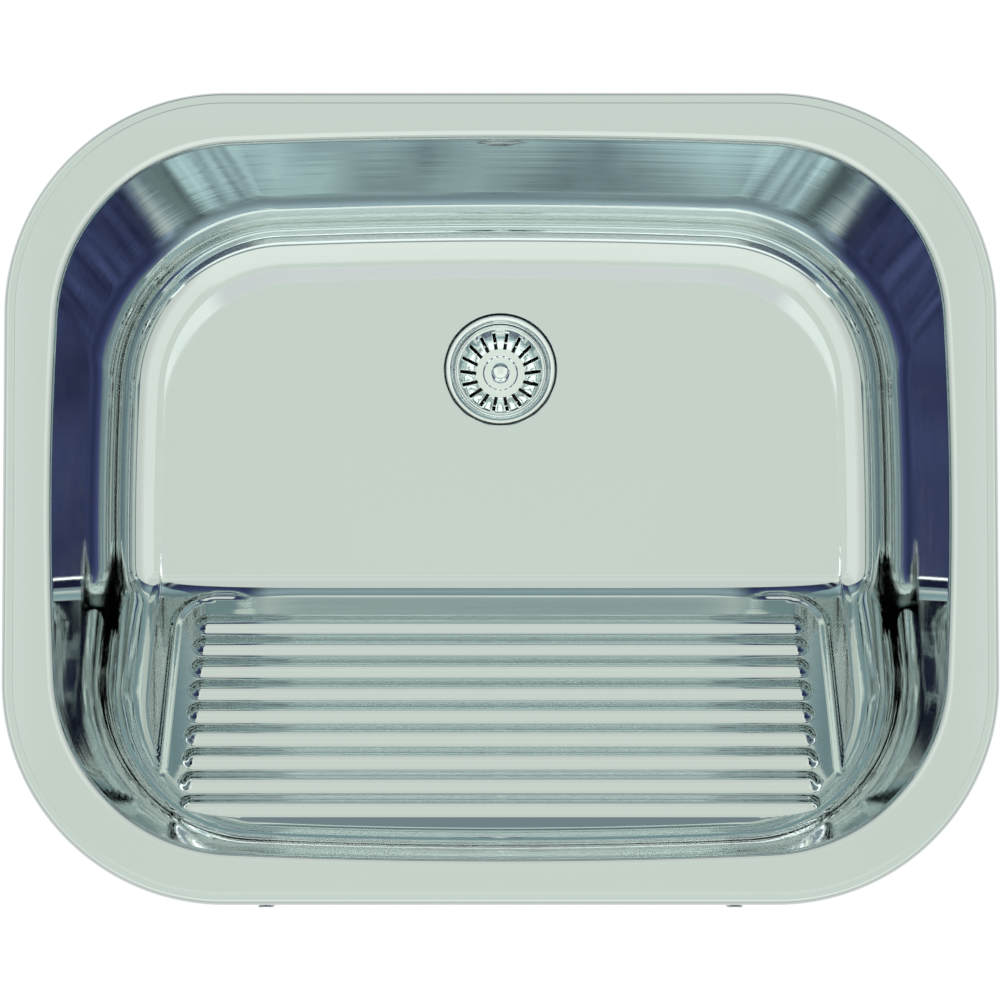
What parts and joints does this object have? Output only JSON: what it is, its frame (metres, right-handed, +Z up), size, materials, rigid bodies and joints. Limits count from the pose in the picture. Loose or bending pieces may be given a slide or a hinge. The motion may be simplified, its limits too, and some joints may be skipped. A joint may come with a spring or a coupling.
{
  "type": "laundry sink",
  "caption": "Inset laundry sink with a flat rim, a deep bowl, a sloping ribbed washboard, a basket strainer waste and fixing clips under the rim.",
  "frame": {"origin": "centre of the worktop cut-out, on the worktop's upper face", "axes": "+X to the right along the rim's long side, +Y from the washboard to the back, +Z up"},
  "size_m": [0.56, 0.4572, 0.286],
  "materials": {
    "polished_steel": "mirror polished",
    "turned_steel": "turned",
    "seal_foam": "closed-cell foam",
    "bitumen": "matt",
    "rubber": "moulded",
    "polypropylene": "moulded",
    "brass": "turned",
    "galvanised_steel": "zinc plated"
  },
  "bodies": {
    "sink": {"bowl": "polished_steel", "rim_seal": "seal_foam", "damping_pad": "bitumen", "clip_brackets": "galvanised_steel", "clip_weld_nuts": "galvanised_steel", "drain_cup": "polished_steel", "flange_seal": "rubber", "body_seal": "rubber", "waste_body": "polypropylene", "threaded_insert": "brass", "hollow_screw": "polished_steel"},
    "basket": {"basket_shell": "polished_steel", "basket_knob": "polished_steel", "basket_stem": "turned_steel", "stem_snap_ring": "turned_steel", "seal_backing_washer": "turned_steel", "stopper_seal": "rubber", "push_nut": "turned_steel"},
    "front_left_clip_washer": {"clip_washer_front_left": "galvanised_steel"},
    "front_left_clip_screw": {"clip_screw_front_left": "galvanised_steel"},
    "front_left_clip_jaw": {"clip_jaw_front_left": "galvanised_steel"},
    "front_right_clip_washer": {"clip_washer_front_right": "galvanised_steel"},
    "front_right_clip_screw": {"clip_screw_front_right": "galvanised_steel"},
    "front_right_clip_jaw": {"clip_jaw_front_right": "galvanised_steel"},
    "back_left_clip_washer": {"clip_washer_back_left": "galvanised_steel"},
    "back_left_clip_screw": {"clip_screw_back_left": "galvanised_steel"},
    "back_left_clip_jaw": {"clip_jaw_back_left": "galvanised_steel"},
    "back_right_clip_washer": {"clip_washer_back_right": "galvanised_steel"},
    "back_right_clip_screw": {"clip_screw_back_right": "galvanised_steel"},
    "back_right_clip_jaw": {"clip_jaw_back_right": "galvanised_steel"},
    "left_clip_washer": {"clip_washer_left": "galvanised_steel"},
    "left_clip_screw": {"clip_screw_left": "galvanised_steel"},
    "left_clip_jaw": {"clip_jaw_left": "galvanised_steel"},
    "right_clip_washer": {"clip_washer_right": "galvanised_steel"},
    "right_clip_screw": {"clip_screw_right": "galvanised_steel"},
    "right_clip_jaw": {"clip_jaw_right": "galvanised_steel"}
  },
  "joints": [
    {"name": "basket_lift", "type": "slide", "parent": "sink", "child": "basket", "axis": [0, 0, 1], "range_m": [0, 0.28]},
    {"name": "front_left_clip_height", "type": "slide", "parent": "sink", "child": "front_left_clip_washer", "axis": [0, 0, 1], "range_m": [-0.012, 0.008]},
    {"name": "front_left_screw_turn", "type": "hinge", "parent": "front_left_clip_washer", "child": "front_left_clip_screw", "pos_m": [-0.132, -0.20556, -0.042], "axis": [0, 0, 1], "range_deg": [-4320, 2880]},
    {"name": "front_left_jaw_swing", "type": "hinge", "parent": "front_left_clip_washer", "child": "front_left_clip_jaw", "pos_m": [-0.132, -0.20556, -0.042], "axis": [0, 0, 1], "range_deg": [-90, 0]},
    {"name": "front_right_clip_height", "type": "slide", "parent": "sink", "child": "front_right_clip_washer", "axis": [0, 0, 1], "range_m": [-0.012, 0.008]},
    {"name": "front_right_screw_turn", "type": "hinge", "parent": "front_right_clip_washer", "child": "front_right_clip_screw", "pos_m": [0.132, -0.20556, -0.042], "axis": [0, 0, 1], "range_deg": [-4320, 2880]},
    {"name": "front_right_jaw_swing", "type": "hinge", "parent": "front_right_clip_washer", "child": "front_right_clip_jaw", "pos_m": [0.132, -0.20556, -0.042], "axis": [0, 0, 1], "range_deg": [-90, 0]},
    {"name": "back_left_clip_height", "type": "slide", "parent": "sink", "child": "back_left_clip_washer", "axis": [0, 0, 1], "range_m": [-0.012, 0.008]},
    {"name": "back_left_screw_turn", "type": "hinge", "parent": "back_left_clip_washer", "child": "back_left_clip_screw", "pos_m": [-0.132, 0.20556, -0.042], "axis": [0, 0, 1], "range_deg": [-4320, 2880]},
    {"name": "back_left_jaw_swing", "type": "hinge", "parent": "back_left_clip_washer", "child": "back_left_clip_jaw", "pos_m": [-0.132, 0.20556, -0.042], "axis": [0, 0, 1], "range_deg": [-90, 0]},
    {"name": "back_right_clip_height", "type": "slide", "parent": "sink", "child": "back_right_clip_washer", "axis": [0, 0, 1], "range_m": [-0.012, 0.008]},
    {"name": "back_right_screw_turn", "type": "hinge", "parent": "back_right_clip_washer", "child": "back_right_clip_screw", "pos_m": [0.132, 0.20556, -0.042], "axis": [0, 0, 1], "range_deg": [-4320, 2880]},
    {"name": "back_right_jaw_swing", "type": "hinge", "parent": "back_right_clip_washer", "child": "back_right_clip_jaw", "pos_m": [0.132, 0.20556, -0.042], "axis": [0, 0, 1], "range_deg": [-90, 0]},
    {"name": "left_clip_height", "type": "slide", "parent": "sink", "child": "left_clip_washer", "axis": [0, 0, 1], "range_m": [-0.012, 0.008]},
    {"name": "left_screw_turn", "type": "hinge", "parent": "left_clip_washer", "child": "left_clip_screw", "pos_m": [-0.25698, 0, -0.042], "axis": [0, 0, 1], "range_deg": [-4320, 2880]},
    {"name": "left_jaw_swing", "type": "hinge", "parent": "left_clip_washer", "child": "left_clip_jaw", "pos_m": [-0.25698, 0, -0.042], "axis": [0, 0, 1], "range_deg": [-90, 0]},
    {"name": "right_clip_height", "type": "slide", "parent": "sink", "child": "right_clip_washer", "axis": [0, 0, 1], "range_m": [-0.012, 0.008]},
    {"name": "right_screw_turn", "type": "hinge", "parent": "right_clip_washer", "child": "right_clip_screw", "pos_m": [0.25698, 0, -0.042], "axis": [0, 0, 1], "range_deg": [-4320, 2880]},
    {"name": "right_jaw_swing", "type": "hinge", "parent": "right_clip_washer", "child": "right_clip_jaw", "pos_m": [0.25698, 0, -0.042], "axis": [0, 0, 1], "range_deg": [-90, 0]}
  ],
  "couplings": [
    {"joint": "front_left_screw_turn", "follows": "front_left_clip_height", "rad_per_m": 6283.2},
    {"joint": "front_right_screw_turn", "follows": "front_right_clip_height", "rad_per_m": 6283.2},
    {"joint": "back_left_screw_turn", "follows": "back_left_clip_height", "rad_per_m": 6283.2},
    {"joint": "back_right_screw_turn", "follows": "back_right_clip_height", "rad_per_m": 6283.2},
    {"joint": "left_screw_turn", "follows": "left_clip_height", "rad_per_m": 6283.2},
    {"joint": "right_screw_turn", "follows": "right_clip_height", "rad_per_m": 6283.2}
  ]
}
